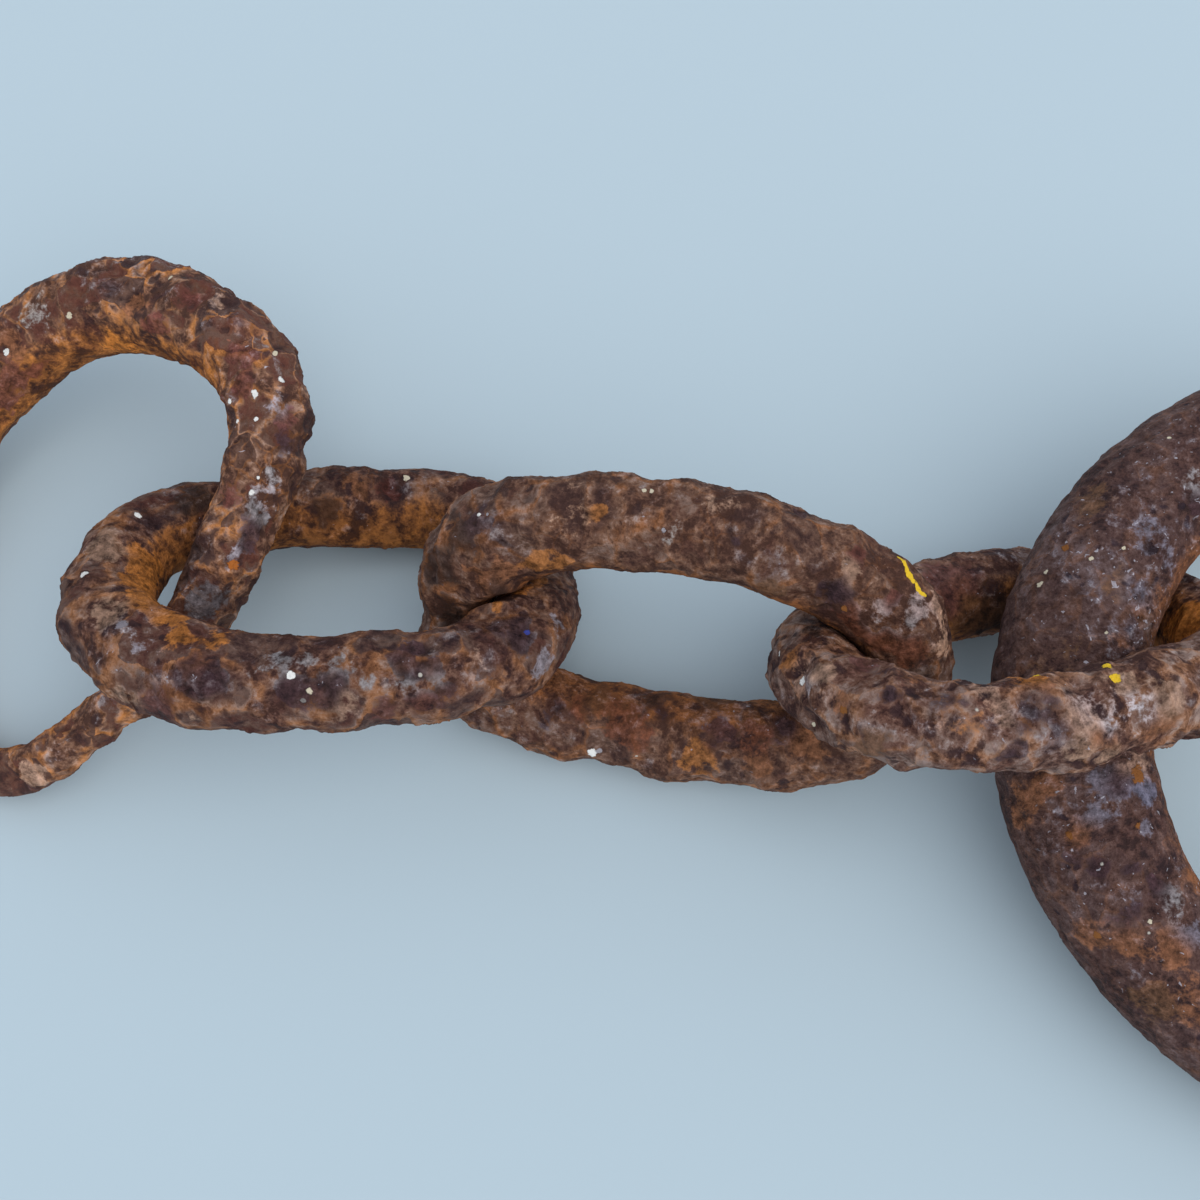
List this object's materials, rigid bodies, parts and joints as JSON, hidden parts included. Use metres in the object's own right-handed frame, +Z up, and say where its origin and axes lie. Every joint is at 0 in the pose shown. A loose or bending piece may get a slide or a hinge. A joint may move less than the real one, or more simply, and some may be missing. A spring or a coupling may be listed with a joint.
{
  "type": "rusty chain",
  "caption": "Length of heavy rusty chain lying on a floor: a tapered end loop, oval forged links threaded through each other, and a large round ring.",
  "frame": {"origin": "centre of the overall box on the floor that the chain lies on", "axes": "+X along the chain from the end loop to the large ring, +Z up, +Y away from the viewer across the chain"},
  "size_m": [0.46, 0.214, 0.0704],
  "materials": {
    "end_loop": "pitted orange-brown rust over dark oxide patches",
    "left_link": "pitted dark oxide with a worn grey band and orange rust in the hollows",
    "middle_link": "pitted maroon-brown oxide with orange rust below",
    "right_link": "flaked brown rust with dark spots and a few yellow paint chips",
    "large_ring": "smoother dark purple-brown oxide with orange rust on its lower part"
  },
  "bodies": {
    "root": {"end_loop": "end_loop", "left_link": "left_link", "middle_link": "middle_link", "right_link": "right_link", "large_ring": "large_ring"}
  },
  "joints": []
}
